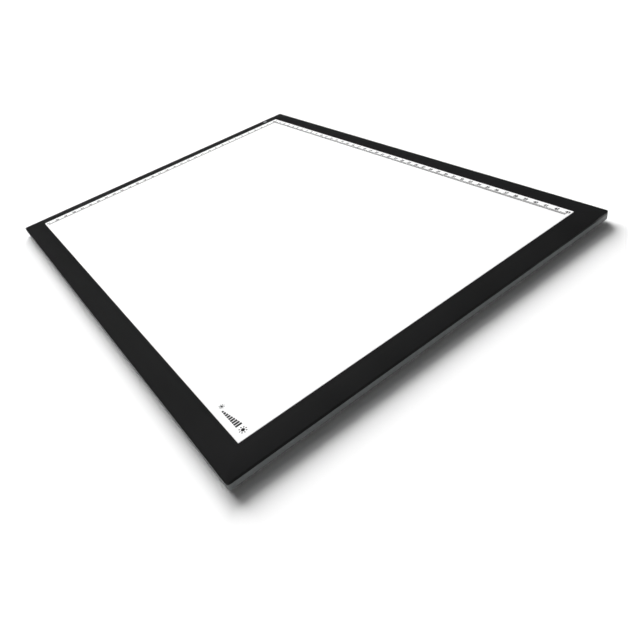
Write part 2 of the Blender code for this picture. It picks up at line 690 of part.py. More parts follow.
def build_power_socket():
    """Low power inlet in the left wall, with solder tabs over the board, and its centre pin."""
    half = SOCKET_LENGTH / 2
    body = bmesh.new()
    add_box(
        body,
        (-half, -SOCKET_WIDTH / 2, -SOCKET_HEIGHT / 2),
        (half, SOCKET_WIDTH / 2, SOCKET_HEIGHT / 2),
    )
    socket = add_piece("power_socket", body, "socket_black", (SOCKET_X, SOCKET_Y, SOCKET_Z))
    tabs = bmesh.new()
    tab_low = BOARD_TOP + LAYER_GAP - SOCKET_Z
    for offset in (-SOCKET_TAB_PITCH, 0.0, SOCKET_TAB_PITCH):
        x = BOARD_X - SOCKET_X + offset
        add_box(
            tabs,
            (x - SOCKET_TAB_WIDTH / 2, -SOCKET_WIDTH / 2 - SOCKET_TAB_REACH, tab_low),
            (x + SOCKET_TAB_WIDTH / 2, -SOCKET_WIDTH / 2 + SINK, tab_low + SOCKET_TAB_THICKNESS),
        )
    combine(socket, tabs, "UNION")
    upright_to_x = Matrix.Rotation(math.radians(90), 4, "Y")
    bore = bmesh.new()
    add_cylinder(bore, 0, 0, -half - MM, -half + SOCKET_BORE_DEPTH, SOCKET_BORE_RADIUS, LARGE_STEPS)
    bore.transform(upright_to_x)
    combine(socket, bore, "DIFFERENCE")
    pin_hole = bmesh.new()
    add_cylinder(pin_hole, 0, 0, 0, half + MM, SOCKET_PIN_RADIUS + FIT)
    pin_hole.transform(upright_to_x)
    combine(socket, pin_hole, "DIFFERENCE")
    length = SOCKET_LENGTH - SOCKET_PIN_SETBACK - LAYER_GAP
    rows = [
        (circle(SOCKET_PIN_RADIUS - SOCKET_PIN_TIP), 0),
        (circle(SOCKET_PIN_RADIUS), SOCKET_PIN_TIP),
        (circle(SOCKET_PIN_RADIUS), length),
    ]
    start = SOCKET_X - half + SOCKET_PIN_SETBACK
    pin = add_piece("socket_pin", loft(rows), "pin_brass", (start, SOCKET_Y, SOCKET_Z))
    pin.rotation_euler = (0, math.radians(90), 0)


def bent_path(corners, height):
    """Points of a level path whose corners are rounded to LEAD_BEND_RADIUS. Its corners are right
    angles."""
    points = [corners[0]]
    for before, corner, after in zip(corners, corners[1:], corners[2:]):
        come = [math.copysign(1, b - a) if abs(b - a) > SINK else 0 for a, b in zip(before, corner)]
        leave = [math.copysign(1, b - a) if abs(b - a) > SINK else 0 for a, b in zip(corner, after)]
        for step in range(LEAD_BEND_STEPS + 1):
            angle = math.radians(90 * step / LEAD_BEND_STEPS)
            back = LEAD_BEND_RADIUS * (1 - math.sin(angle))
            ahead = LEAD_BEND_RADIUS * (1 - math.cos(angle))
            points.append(tuple(c - back * i + ahead * o for c, i, o in zip(corner, come, leave)))
    points.append(corners[-1])
    return [(x, y, height) for x, y in points]


def build_leads():
    """Two-core leads: board to near strip, and near strip to far strip through the right margin."""
    near_strip = GUIDE_NEAR - FIT - LED_DEPTH - STRIP_THICKNESS / 2
    far_strip = GUIDE_FAR + FIT + LED_DEPTH + STRIP_THICKNESS / 2
    left_end = STRIP_LEFT - FIT
    right_end = STRIP_RIGHT + FIT
    to_near = [(LEFT_LEAD_X, BOARD_NEAR - FIT), (LEFT_LEAD_X, near_strip), (left_end, near_strip)]
    around = [
        (right_end, near_strip),
        (RIGHT_LEAD_X, near_strip),
        (RIGHT_LEAD_X, far_strip),
        (right_end, far_strip),
    ]
    add_tube("led_lead_front", bent_path(to_near, LEAD_Z), LEAD_RADIUS, "lead_white", 2)
    add_tube("led_link_right", bent_path(around, LEAD_Z), LEAD_RADIUS, "lead_white", 2)


def screw_mesh(name, shank_length):
    """Flat-headed screw, head down, its head's outer face at z = 0."""
    end = SCREW_HEAD_HEIGHT + shank_length
    rows = [
        (circle(SCREW_HEAD_RADIUS - SCREW_HEAD_EDGE), 0),
        (circle(SCREW_HEAD_RADIUS), SCREW_HEAD_EDGE),
        (circle(SCREW_HEAD_RADIUS), SCREW_HEAD_HEIGHT),
        (circle(SCREW_SHANK_RADIUS), SCREW_HEAD_HEIGHT),
        (circle(SCREW_SHANK_RADIUS), end - SCREW_TIP),
        (circle(SCREW_SHANK_RADIUS / 2), end),
    ]
    return mesh_from(loft(rows), name)


def cross_recess_mesh():
    """Driver recess: a cross that sinks into the head's outer face."""
    arms = []
    long_half = RECESS_LENGTH / 2
    short_half = RECESS_WIDTH / 2
    for x, y in ((1, 0), (0, 1), (-1, 0), (0, -1)):
        arms.append((long_half * x + short_half * y, long_half * y - short_half * x))
        arms.append((long_half * x - short_half * y, long_half * y + short_half * x))
        arms.append((short_half * (x - y), short_half * (y + x)))
    return mesh_from(loft([(arms, -MM), (arms, RECESS_DEPTH)]), "cross_recess")


def build_screws():
    """Ten cover screws from below and two board screws from above."""
    recess = cross_recess_mesh()
    cover_screw = screw_mesh("cover_screw", COVER_SCREW_LENGTH)
    head_low = COUNTERBORE_TOP - LAYER_GAP - SCREW_HEAD_HEIGHT
    for number, (x, y) in enumerate(cover_screw_places(), start=1):
        screw = add_piece(f"cover_screw_{number}", cover_screw, "screw_black", (x, y, head_low))
        combine(screw, recess, "DIFFERENCE")
    board_screw = screw_mesh("board_screw", BOARD_SCREW_LENGTH)
    head_top = BOARD_TOP + LAYER_GAP + SCREW_HEAD_HEIGHT
    for number, y in enumerate(BOARD_SCREW_Y, start=1):
        screw = add_piece(f"board_screw_{number}", board_screw, "screw_black", (BOARD_X, y, head_top))
        screw.rotation_euler = (math.pi, 0, 0)
        combine(screw, recess, "DIFFERENCE")


def build_feet():
    """Rubber discs, stuck into recesses in the cover."""
    rows = [
        (circle(FOOT_RADIUS - FOOT_EDGE, LARGE_STEPS), 0),
        (circle(FOOT_RADIUS, LARGE_STEPS), FOOT_EDGE),
        (circle(FOOT_RADIUS, LARGE_STEPS), FOOT_HEIGHT),
    ]
    foot = mesh_from(loft(rows), "foot")
    for number, (x, y) in enumerate(foot_places(), start=1):
        add_piece(f"foot_{number}", foot, "foot_rubber", (x, y, 0))


def build_rating_label():
    """Blank label in its recess under the cover."""
    points = rounded_rectangle(LABEL_LENGTH, LABEL_WIDTH, LABEL_CORNER)
    low = RECESS_CEILING - LAYER_GAP - LABEL_THICKNESS
    add_piece("rating_label", plate(points, LABEL_THICKNESS), "label_silver", (LABEL_X, LABEL_Y, low))


clear_scene()
build_bezel_frame()
build_drawing_panel()
build_light_seal()
build_sheets()
build_led_strip("led_strip_front", GUIDE_NEAR, 1)
build_led_strip("led_strip_rear", GUIDE_FAR, -1)
build_led_rail("led_rail_front", GUIDE_NEAR, 1)
build_led_rail("led_rail_rear", GUIDE_FAR, -1)
build_side_spacers()
build_back_cover()
build_control_board()
build_board_parts()
build_touch_spring()
build_power_socket()
build_leads()
build_screws()
build_feet()
build_rating_label()
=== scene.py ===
"""Looks of the A3 light box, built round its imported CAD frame.

Frame: +X along the long edge, +Y from the near edge to the far edge, +Z up, in metres.
"""

import math

import bmesh
import bpy
from mathutils import Matrix, Vector


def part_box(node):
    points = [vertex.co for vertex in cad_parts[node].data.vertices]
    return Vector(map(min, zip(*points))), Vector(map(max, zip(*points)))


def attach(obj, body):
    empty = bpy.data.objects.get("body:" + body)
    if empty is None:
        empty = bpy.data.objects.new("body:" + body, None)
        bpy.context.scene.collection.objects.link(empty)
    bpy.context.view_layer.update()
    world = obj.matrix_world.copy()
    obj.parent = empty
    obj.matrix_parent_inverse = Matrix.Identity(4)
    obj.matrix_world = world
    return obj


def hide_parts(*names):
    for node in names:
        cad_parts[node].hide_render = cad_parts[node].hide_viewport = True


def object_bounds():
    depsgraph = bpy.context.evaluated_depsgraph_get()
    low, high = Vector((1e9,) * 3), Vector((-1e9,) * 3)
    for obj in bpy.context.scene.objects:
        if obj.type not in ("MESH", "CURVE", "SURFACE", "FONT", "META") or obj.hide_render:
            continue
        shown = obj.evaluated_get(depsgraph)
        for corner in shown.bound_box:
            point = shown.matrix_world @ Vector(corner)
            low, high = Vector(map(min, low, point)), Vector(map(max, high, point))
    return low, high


MM = 0.001
SHARP_ANGLE = math.radians(32)

# Shape of the mouldings, as in the CAD model
CORNER_RADIUS = 2.5 * MM
LEAST_RADIUS = 0.8 * MM
CORNER_STEPS = 12
ROUND_STEPS = 32
FIT = 0.3 * MM
LAYER_GAP = 0.2 * MM
FLANGE = 2.7 * MM
REBATE_WIDTH = 3.0 * MM
REBATE_HEIGHT = 0.8 * MM
FRAME_THICKNESS = 2.0 * MM
FRAME_EDGE = 0.4 * MM
WINDOW_EDGE = 0.12 * MM
WINDOW_CORNER = 0.2 * MM
COVER_WALL = 1.8 * MM
COVER_FLOOR = 1.2 * MM
COVER_ROUNDING = 2.0 * MM
COVER_ROUNDING_STEPS = 10
COVER_RIM = 0.12 * MM
SKIRT_OUTSIDE = COVER_WALL + FIT
SKIRT_INSIDE = SKIRT_OUTSIDE + 0.9 * MM
SKIRT_DEPTH = 0.8 * MM
EDGE_STEPS = 5
BOSS_RADIUS = 2.3 * MM
PILOT_RADIUS = 1.15 * MM
PILOT_TOP = 6.6 * MM
PAD_RADIUS = 2.9 * MM
PAD_TOP = 3.6 * MM
COUNTERBORE_RADIUS = 2.2 * MM
COUNTERBORE_DEPTH = 1.3 * MM
RECESS_DEPTH = 0.6 * MM
BOARD_BOSS_RADIUS = 2.2 * MM
BOARD_PILOT_LOW = 1.7 * MM
DEEP_SINK = 0.5 * MM
SINK = 0.05 * MM

# Screws
HEAD_RADIUS = 1.9 * MM
HEAD_HEIGHT = 1.0 * MM
HEAD_EDGE = 0.2 * MM
THREAD_RADIUS = 0.95 * MM
THREAD_ROOT = 0.75 * MM
THREAD_PITCH = 0.5 * MM
THREAD_ROWS_PER_TURN = 6
THREAD_STEPS = 24
THREAD_STEEPNESS = 3
THREAD_TIP = 0.25
CROSS_LENGTH = 2.2 * MM
CROSS_WIDTH = 0.55 * MM
CROSS_MOUTH = (CROSS_LENGTH * 1.1, CROSS_WIDTH * 1.2)
CROSS_END = (CROSS_LENGTH * 0.5, CROSS_WIDTH * 0.7)
CROSS_START = 0.1 * MM
CROSS_DEPTH = 0.6 * MM

# Feet: the face as shares of the radius with the depth there
FOOT_EDGE = 0.45 * MM
FOOT_GROOVE = 0.25 * MM
FOOT_FACE = (
    (0.06, 0.16 * MM),
    (0.3, 0.12 * MM),
    (0.42, 0.06 * MM),
    (0.45, FOOT_GROOVE),
    (0.5, FOOT_GROOVE),
    (0.53, 0.03 * MM),
    (0.66, 0.0),
    (0.69, FOOT_GROOVE),
    (0.74, FOOT_GROOVE),
    (0.77, 0.0),
)

# Power inlet
INLET_WIDTH = 6.6 * MM
INLET_HEIGHT = 4.2 * MM
INLET_EDGE = 0.3 * MM
BORE_RADIUS = 1.8 * MM
BORE_DEPTH = 7.8 * MM
BORE_LEAD_IN = 0.25 * MM
PIN_RADIUS = 0.65 * MM
PIN_TIP = PIN_RADIUS / 10
TAB_PITCH = 2.0 * MM
TAB_WIDTH = 1.0 * MM
TAB_THICKNESS = 0.3 * MM
DOORWAY = INLET_WIDTH / 2 + FIT

# Print on the panel, the frame and the label, with angles in degrees
INK = 0.03 * MM
INK_SINK = 0.01 * MM
MERGE_DISTANCE = 0.001 * MM
RULER_START = 6.7 * MM
FAR_RULER_CM = 43
LEFT_RULER_CM = 31
LEFT_RULER_SHIFT = 1.5 * MM
TICK_FOOT = 7.5 * MM
TICK_MM = 2.0 * MM
TICK_5MM = 2.2 * MM
TICK_CM = 2.4 * MM
TICK_WIDTH = 0.55 * MM
BASELINE = 0.45 * MM
NUMERAL_SIZE = 4.0 * MM
NUMERAL_BOLD = 0.16 * MM
NUMERAL_MIDDLE = 3.4 * MM
NUMERAL_STEPS = 3
TOUCH_INNER = 1.35 * MM
TOUCH_OUTER = 1.95 * MM
TOUCH_START = 125
TOUCH_END = 415
TOUCH_STEPS = 40
STROKE_HALF_WIDTH = 0.3 * MM
STROKE_LOW = 0.4 * MM
STROKE_HIGH = 2.3 * MM
LABEL_CORNER = 2 * MM
LABEL_BORDER = 2 * MM
LABEL_RULE = 0.3 * MM
LABEL_DIVIDER = 0.36
LABEL_ROWS = (0.25, 0.5, 0.75)

# Brightness scale. Its suns and bars are shares of its height, a bar's half width is a share of
# the bars' pitch, and the parts of a sun are shares of the sun's radius
GAUGE_LENGTH = 32 * MM
GAUGE_HEIGHT = 5.2 * MM
GAUGE_INSET_X = 4 * MM
GAUGE_INSET_Y = 7.5 * MM
GAUGE_GAP = 1.4 * MM
GAUGE_SMALL_SUN = 0.4
GAUGE_LARGE_SUN = 0.55
GAUGE_BARS = 9
GAUGE_FOOT = 0.45
GAUGE_FIRST_BAR = 0.25
GAUGE_BAR_RISE = 0.65
GAUGE_BAR_HALF_WIDTH = 0.36
SUN_DISC = 0.45
SUN_RAYS = 8
SUN_RAY_START = 0.62
SUN_RAY_HALF_WIDTH = 0.12

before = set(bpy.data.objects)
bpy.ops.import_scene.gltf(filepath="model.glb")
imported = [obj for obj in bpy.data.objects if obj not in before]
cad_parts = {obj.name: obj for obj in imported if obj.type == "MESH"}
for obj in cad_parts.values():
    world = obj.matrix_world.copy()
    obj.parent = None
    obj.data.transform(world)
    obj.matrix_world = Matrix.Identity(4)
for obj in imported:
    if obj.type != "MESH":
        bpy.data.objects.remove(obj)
cad_low, cad_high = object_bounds()

frame_low, frame_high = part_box("bezel_frame")
cover_low, cover_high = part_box("back_cover")
panel_low, panel_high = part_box("drawing_panel")
LENGTH = frame_high.x - frame_low.x
WIDTH = frame_high.y - frame_low.y
FRAME_BOTTOM = frame_high.z - FRAME_THICKNESS
WINDOW_LOW = Vector((panel_low.x + FLANGE, panel_low.y + FLANGE, 0))
WINDOW_HIGH = Vector((panel_high.x - FLANGE, panel_high.y - FLANGE, 0))
WINDOW_LENGTH = WINDOW_HIGH.x - WINDOW_LOW.x
WINDOW_WIDTH = WINDOW_HIGH.y - WINDOW_LOW.y
WINDOW_X = (WINDOW_LOW.x + WINDOW_HIGH.x) / 2
WINDOW_Y = (WINDOW_LOW.y + WINDOW_HIGH.y) / 2


# ---------------------------------------------------------------- materials


class Surface:
    """A Principled material whose nodes are added one by one, with patterns that follow the
    coordinates of the piece."""

    def __init__(self, name):
        self.material = bpy.data.materials.new(name)
        self.material.use_nodes = True
        self.tree = self.material.node_tree
        self.shader = self.tree.nodes["Principled BSDF"]
        self.place = self.tree.nodes.new("ShaderNodeTexCoord").outputs["Object"]

    def node(self, kind, inputs=(), **settings):
        made = self.tree.nodes.new(kind)
        for key, value in settings.items():
            setattr(made, key, value)
        for key, value in dict(inputs).items():
            self.put(made.inputs[key], value)
        return made

    def put(self, socket, value):
        if isinstance(value, bpy.types.NodeSocket):
            self.tree.links.new(value, socket)
        else:
            socket.default_value = value

    def noise(self, size, detail=2.0, rough=0.5, stretch=None):
        """Noise from 0 to 1 with features about size wide."""
        place = self.place
        if stretch is not None:
            place = self.node("ShaderNodeMapping", {0: place, "Scale": stretch}).outputs[0]
        made = self.node(
            "ShaderNodeTexNoise",
            {"Vector": place, "Scale": 1 / size, "Detail": detail, "Roughness": rough},
        )
        return made.outputs["Fac"]

    def spread(self, value, low, high, start=0.3, end=0.7):
        """The value's range from start to end, mapped to low to high."""
        made = self.node(
            "ShaderNodeMapRange",
            {"Value": value, "From Min": start, "From Max": end, "To Min": low, "To Max": high},
        )
        return made.outputs["Result"]

    def math(self, operation, a, b):
        made = self.node("ShaderNodeMath", {0: a, 1: b}, operation=operation)
        return made.outputs[0]

    def mix(self, share, a, b):
        made = self.node("ShaderNodeMix", data_type="RGBA")
        self.put(made.inputs["Factor"], share)
        self.put(made.inputs[6], a)
        self.put(made.inputs[7], b)
        return made.outputs[2]

    def bump(self, height, depth, normal=None):
        made = self.node("ShaderNodeBump", {"Height": height, "Distance": depth, "Strength": 1.0})
        if normal is not None:
            self.put(made.inputs["Normal"], normal)
        return made.outputs["Normal"]

    def finish(self, colour, roughness, normal, metallic=0.0, specular=0.5):
        self.put(self.shader.inputs["Base Color"], colour)
        self.put(self.shader.inputs["Roughness"], roughness)
        self.put(self.shader.inputs["Normal"], normal)
        self.shader.inputs["Metallic"].default_value = metallic
        self.shader.inputs["Specular IOR Level"].default_value = specular
        return self.material


def shade(colour, factor):
    return tuple(min(1.0, part * factor) for part in colour[:3]) + (1.0,)


def rounded_edges(surface):
    """1 where a face leans between upright and level, as on a rounded edge, and 0 elsewhere."""
    normal = surface.node("ShaderNodeNewGeometry").outputs["True Normal"]
    up = surface.node("ShaderNodeSeparateXYZ", {0: normal}).outputs["Z"]
    lean = surface.math("ABSOLUTE", up, 0.0)
    product = surface.math("MULTIPLY", lean, surface.math("SUBTRACT", 1.0, lean))
    return surface.spread(product, 0.0, 1.0, start=0.04, end=0.2)


def moulded(name, colour, roughness, grain, depth, variation=0.15, edge_wear_and_glint=0.0, **constants):
    """Moulded plastic with a spark-eroded grain, cloudy colour, rubbed patches, and rounded edges painted
    lighter, partly as wear and partly as a painted highlight.
    """
    surface = Surface(name)
    fine = surface.noise(grain, detail=3.0, rough=0.6)
    speck = surface.noise(6 * grain, detail=2.0)
    cloud = surface.noise(38 * MM, detail=4.0, rough=0.6)
    tone = surface.mix(
        surface.spread(cloud, 0.0, 1.0), shade(colour, 1 - variation), shade(colour, 1 + variation)
    )
    fleck = surface.spread(speck, 0.0, 0.25, 0.55, 0.75)
    tone = surface.mix(fleck, tone, shade(colour, 1 + 2 * variation))
    rough = surface.math(
        "ADD",
        surface.spread(cloud, roughness - 0.05, roughness + 0.05),
        surface.spread(fine, -0.04, 0.04),
    )
    # Rounded edges get a lighter colour and less roughness: partly wear, partly a painted highlight along
    # the edge.
    if edge_wear_and_glint:
        worn_glinting_edge = surface.math("MULTIPLY", rounded_edges(surface), surface.spread(speck, 0.2, 1.0))
        tone = surface.mix(worn_glinting_edge, tone, shade(colour, 1 + edge_wear_and_glint))
        rough = surface.math("SUBTRACT", rough, surface.math("MULTIPLY", worn_glinting_edge, 0.15))
    height = surface.math("ADD", fine, surface.math("MULTIPLY", speck, 0.5))
    return surface.finish(tone, rough, surface.bump(height, depth), **constants)


def metal(name, colour, roughness, stretch, line=0.2 * MM, metallic=1.0):
    """Drawn, rolled or turned metal: fine lines along one direction and slight staining."""
    surface = Surface(name)
    lines = surface.noise(line, detail=4.0, rough=0.7, stretch=stretch)
    cloud = surface.noise(9 * MM, detail=3.0)
    tone = surface.mix(surface.spread(cloud, 0.0, 1.0), shade(colour, 0.82), shade(colour, 1.12))
    rough = surface.math(
        "ADD",
        surface.spread(lines, roughness - 0.08, roughness + 0.1),
        surface.spread(cloud, -0.04, 0.04),
    )
    return surface.finish(tone, rough, surface.bump(lines, 0.01 * MM), metallic=metallic)


def film(name, colour, roughness, ripple, variation=0.04, **constants):
    """Sheet plastic: nearly even, with a faint ripple and a fine matt tooth."""
    surface = Surface(name)
    wave = surface.noise(ripple, detail=2.0)
    tooth = surface.noise(0.25 * MM, detail=2.0)
    tone = surface.mix(
        surface.spread(wave, 0.0, 1.0), shade(colour, 1 - variation), shade(colour, 1 + variation)
    )
    rough = surface.math(
        "ADD", surface.spread(tooth, roughness - 0.04, roughness + 0.04), surface.spread(wave, -0.03, 0.03)
    )
    height = surface.math("ADD", tooth, surface.math("MULTIPLY", wave, 2.0))
    return surface.finish(tone, rough, surface.bump(height, 0.006 * MM), **constants)


PANEL_GLOW = 0.46


def lit_panel():
    """Opal acrylic lit from behind, with a matt drawing tooth."""
    material = film("lit_acrylic", (0.45, 0.45, 0.45), 0.42, 60 * MM, variation=0.03)
    shader = material.node_tree.nodes["Principled BSDF"]
    shader.inputs["Emission Color"].default_value = (1.0, 1.0, 1.0, 1.0)
    shader.inputs["Emission Strength"].default_value = PANEL_GLOW
    return material


FINISHES = {
    "bezel_black": moulded(
        "bezel_black", (0.0085, 0.0085, 0.0088), 0.56, 0.35 * MM, 0.012 * MM, edge_wear_and_glint=0.8, specular=0.25
    ),
    "lit_acrylic": lit_panel(),
    "cover_grey": moulded(
        "cover_grey",
        (0.115, 0.121, 0.12),
        0.52,
        0.4 * MM,
        0.02 * MM,
        variation=0.08,
        edge_wear_and_glint=0.25,
        specular=0.4,
    ),
    "foam_black": moulded("foam_black", (0.02, 0.02, 0.02), 0.9, 0.5 * MM, 0.15 * MM),
    "film_white": film("film_white", (0.85, 0.86, 0.87), 0.35, 40 * MM),
    "clear_acrylic": film("clear_acrylic", (0.75, 0.8, 0.8), 0.12, 80 * MM),
    "reflector_white": film("reflector_white", (0.9, 0.9, 0.9), 0.55, 30 * MM),
    "strip_white": moulded("strip_white", (0.8, 0.79, 0.72), 0.4, 0.5 * MM, 0.01 * MM, variation=0.06),
    "rail_aluminium": metal("rail_aluminium", (0.6, 0.61, 0.63), 0.35, (0.01, 1.0, 1.0)),
    "spacer_white": moulded("spacer_white", (0.7, 0.7, 0.67), 0.55, 0.4 * MM, 0.02 * MM, variation=0.06),
    "board_green": moulded("board_green", (0.02, 0.14, 0.05), 0.35, 0.8 * MM, 0.01 * MM, variation=0.2),
    "chip_black": moulded("chip_black", (0.02, 0.02, 0.022), 0.55, 0.15 * MM, 0.01 * MM),
    "capacitor_tan": moulded("capacitor_tan", (0.4, 0.28, 0.16), 0.45, 0.2 * MM, 0.01 * MM),
    "ferrite_grey": moulded("ferrite_grey", (0.09, 0.09, 0.1), 0.6, 0.2 * MM, 0.02 * MM),
    "spring_steel": metal("spring_steel", (0.55, 0.54, 0.52), 0.3, (1.0, 1.0, 1.0)),
    "socket_black": moulded("socket_black", (0.018, 0.018, 0.018), 0.45, 0.3 * MM, 0.01 * MM, edge_wear_and_glint=0.5),
    "pin_brass": metal("pin_brass", (0.72, 0.56, 0.3), 0.22, (1.0, 0.05, 0.05), line=0.1 * MM),
    "lead_white": moulded("lead_white", (0.75, 0.75, 0.72), 0.5, 0.6 * MM, 0.01 * MM, variation=0.05),
    "screw_black": metal("screw_black", (0.05, 0.05, 0.055), 0.34, (1.0, 1.0, 0.1), metallic=0.9),
    "foot_rubber": moulded("foot_rubber", (0.012, 0.012, 0.012), 0.85, 0.3 * MM, 0.03 * MM, variation=0.3),
    "label_silver": film("label_silver", (0.5, 0.5, 0.5), 0.38, 12 * MM, metallic=0.2),
}
# Polished black for the frame's upright outer sides, with a base colour darker than bezel_black as painted
# shade
SHADED_BEZEL_SIDE = moulded(
    "bezel_side_painted_shade", (0.003, 0.003, 0.0032), 0.24, 0.35 * MM, 0.004 * MM, variation=0.2, specular=0.2
)
INK_BLACK = film("ink_black", (0.012, 0.012, 0.012), 0.5, 20 * MM, variation=0.2)
INK_WHITE = film("ink_white", (0.8, 0.82, 0.84), 0.5, 20 * MM, variation=0.05)


# ------------------------------------------------------------------ shapes


def mesh_from(bm, name):
    """The bmesh as a mesh with its faces outward. The bmesh is used up."""
    if bm.calc_volume(signed=True) < 0:
        bmesh.ops.reverse_faces(bm, faces=bm.faces)
    mesh = bpy.data.meshes.new(name)
    bm.to_mesh(mesh)
    bm.free()
    return mesh


def show(name, mesh, slot, place=(0, 0, 0), stands_for=()):
    """Adds a piece of the visual model, smooth round its curves and sharp at its corners."""
    mesh.shade_smooth()
    mesh.set_sharp_from_angle(angle=SHARP_ANGLE)
    if not mesh.materials:
        mesh.materials.append(FINISHES[slot])
    piece = bpy.data.objects.new(name, mesh)
    piece.location = place
    bpy.context.scene.collection.objects.link(piece)
    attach(piece, "root")
    if stands_for:
        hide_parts(*stands_for)


def show_print(name, bm, ink):
    """Adds a printed piece. It has no slot, so a repainted panel keeps its print."""
    mesh = mesh_from(bm, name)
    mesh.materials.append(ink)
    piece = bpy.data.objects.new(name, mesh)
    bpy.context.scene.collection.objects.link(piece)
    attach(piece, "root")


def combined(mesh, steps):
    """The mesh after each (operation, bmesh) has been united with it or cut from it."""
    body = bpy.data.objects.new(mesh.name, mesh)
    bpy.context.scene.collection.objects.link(body)
    tools = []
    for number, (operation, shape) in enumerate(steps):
        tool = bpy.data.objects.new(f"tool_{number}", mesh_from(shape, "tool"))
        bpy.context.scene.collection.objects.link(tool)
        tools.append(tool)
        modifier = body.modifiers.new("combine", "BOOLEAN")
        modifier.operation = operation
        modifier.solver = "EXACT"
        modifier.object = tool
    evaluated = body.evaluated_get(bpy.context.evaluated_depsgraph_get())
    result = bpy.data.meshes.new_from_object(evaluated)
    for used in (body, *tools):
        bpy.data.objects.remove(used, do_unlink=True)
    return result


def rounded_rectangle(length, width, radius, x=0.0, y=0.0):
    """Points of a rounded rectangle about (x, y), anticlockwise from the end of its right side."""
    points = []
    for quarter, (sign_x, sign_y) in enumerate(((1, 1), (-1, 1), (-1, -1), (1, -1))):
        for step in range(CORNER_STEPS + 1):
            angle = math.radians(90 * (quarter + step / CORNER_STEPS))
            corner_x = x + sign_x * (length / 2 - radius)
            corner_y = y + sign_y * (width / 2 - radius)
            points.append((corner_x + radius * math.cos(angle), corner_y + radius * math.sin(angle)))
    return points


def outline(inset):
    radius = max(CORNER_RADIUS - inset, LEAST_RADIUS)
    return rounded_rectangle(LENGTH - 2 * inset, WIDTH - 2 * inset, radius)


def window_outline(growth):
    radius = WINDOW_CORNER + max(0.0, min(growth, WINDOW_EDGE))
    return rounded_rectangle(
        WINDOW_LENGTH + 2 * growth, WINDOW_WIDTH + 2 * growth, radius, WINDOW_X, WINDOW_Y
    )


def rounding(radius, steps=EDGE_STEPS):
    """(inset, rise) along a rounded edge, from its level end to its upright end."""
    angles = [math.radians(90 * step / steps) for step in range(steps + 1)]
    return [(radius * (1 - math.sin(angle)), radius * (1 - math.cos(angle))) for angle in angles]


def circle(radius, steps=ROUND_STEPS):
    turns = [2 * math.pi * step / steps for step in range(steps)]
    return [(radius * math.cos(turn), radius * math.sin(turn)) for turn in turns]


def loft(rows, ring=False, bm=None):
    """A skin through rows of (points, z), added to bm. A ring joins its last row to its first, and
    any other shape is capped at both ends."""
    if bm is None:
        bm = bmesh.new()
    loops = [[bm.verts.new((x, y, z)) for x, y in points] for points, z in rows]
    pairs = list(zip(loops, loops[1:]))
    if ring:
        pairs.append((loops[-1], loops[0]))
    for lower, upper in pairs:
        for here in range(len(lower)):
            after = (here + 1) % len(lower)
            bm.faces.new((lower[here], lower[after], upper[after], upper[here]))
    if not ring:
        bm.faces.new(reversed(loops[0]))
        bm.faces.new(loops[-1])
    return bm


def add_box(bm, low, high):
    middle = [(a + b) / 2 for a, b in zip(low, high)]
    size = [b - a for a, b in zip(low, high)]
    bmesh.ops.create_cube(bm, size=1.0, matrix=Matrix.Translation(middle) @ Matrix.Diagonal((*size, 1)))


def add_cylinder(bm, x, y, low, high, radius, steps):
    place = Matrix.Translation((x, y, (low + high) / 2))
    bmesh.ops.create_cone(
        bm, cap_ends=True, segments=steps, radius1=radius, radius2=radius, depth=high - low, matrix=place
    )


def cylinders(places, low, high, radius, steps=ROUND_STEPS):
    bm = bmesh.new()
    for x, y in places:
        add_cylinder(bm, x, y, low, high, radius, steps)
    return bm


def centre(node):
    low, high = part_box(node)
    return (low + high) / 2


def nodes_named(start):
    return sorted((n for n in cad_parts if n.startswith(start)), key=lambda n: (len(n), n))


def places_of(names):
    return [(centre(name).x, centre(name).y) for name in names]


# ---------------------------------------------------------------- mouldings


def build_bezel():
    """Black frame: rounded outer edge, fine window edge, rebate, skirt and screw bosses."""
    top = frame_high.z
    rows = [(outline(0), FRAME_BOTTOM)]
    for drop, inset in rounding(FRAME_EDGE):
        rows.append((outline(inset), top - drop))
    rows.append((window_outline(WINDOW_EDGE), top))
    rows.append((window_outline(0), top - WINDOW_EDGE))
    rows.append((window_outline(0), FRAME_BOTTOM + REBATE_HEIGHT))
    rows.append((window_outline(REBATE_WIDTH), FRAME_BOTTOM + REBATE_HEIGHT))
    rows.append((window_outline(REBATE_WIDTH), FRAME_BOTTOM))
    rows.append((outline(SKIRT_INSIDE), FRAME_BOTTOM))
    rows.append((outline(SKIRT_INSIDE), FRAME_BOTTOM - SKIRT_DEPTH))
    rows.append((outline(SKIRT_OUTSIDE), FRAME_BOTTOM - SKIRT_DEPTH))
    rows.append((outline(SKIRT_OUTSIDE), FRAME_BOTTOM))
    screws = places_of(nodes_named("cover_screw_"))
    doorway = bmesh.new()
    inlet_y = centre("socket_pin").y
    add_box(
        doorway,
        (frame_low.x - MM, inlet_y - DOORWAY, FRAME_BOTTOM - SKIRT_DEPTH - MM),
        (frame_low.x + SKIRT_INSIDE + MM, inlet_y + DOORWAY, FRAME_BOTTOM + SINK),
    )
    steps = [
        ("UNION", cylinders(screws, frame_low.z, FRAME_BOTTOM + DEEP_SINK, BOSS_RADIUS)),
        ("DIFFERENCE", cylinders(screws, frame_low.z - MM, PILOT_TOP, PILOT_RADIUS)),
        ("DIFFERENCE", doorway),
    ]
    mesh = combined(mesh_from(loft(rows, ring=True), "bezel_moulding"), steps)
    mesh.materials.clear()
    mesh.materials.append(FINISHES["bezel_black"])
    mesh.materials.append(SHADED_BEZEL_SIDE)
    # The upright outer faces are polished, and their black is darker than the top's as painted shade
    for face in mesh.polygons:
        upright = abs(face.normal.z) < 0.5
        outside = abs(face.center.x) > LENGTH / 2 - MM or abs(face.center.y) > WIDTH / 2 - MM
        face.material_index = 1 if upright and outside else 0
    show("bezel_moulding", mesh, "bezel_black", stands_for=["bezel_frame"])


